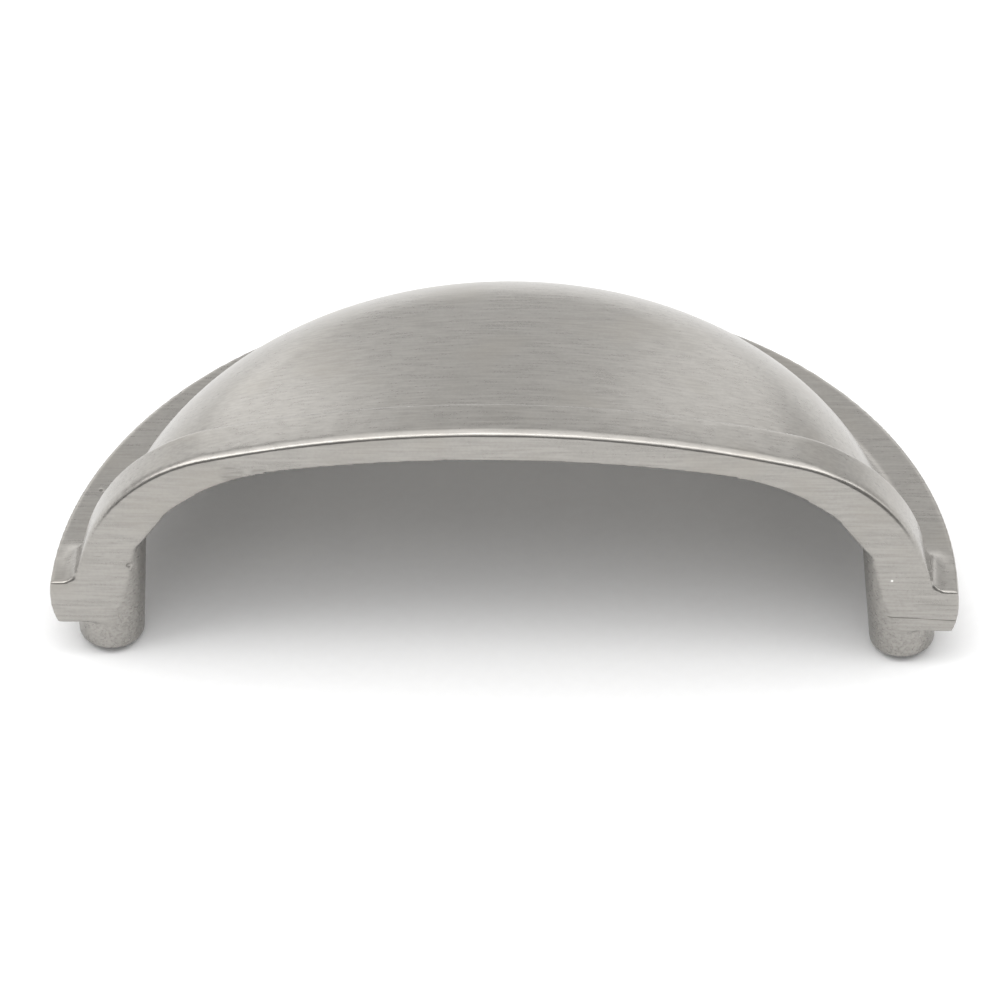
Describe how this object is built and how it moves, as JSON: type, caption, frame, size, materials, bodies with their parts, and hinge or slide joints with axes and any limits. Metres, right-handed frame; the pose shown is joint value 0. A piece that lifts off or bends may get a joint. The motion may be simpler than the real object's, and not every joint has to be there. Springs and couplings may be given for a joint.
{
  "type": "cabinet cup pull",
  "caption": "Curved cup pull for a drawer or cabinet door: an arched plate, a hood with a raised rim and tapped posts, cast in one.",
  "frame": {"origin": "midway between the two screw holes, on the plane of the post ends", "axes": "+X along the pull through both holes, +Y to the crown of the arch, +Z away from the drawer front"},
  "size_m": [0.0872, 0.0432, 0.0272],
  "materials": {
    "satin_nickel": "satin, brushed along the length"
  },
  "bodies": {
    "root": {"cup_pull": "satin_nickel"}
  },
  "joints": []
}
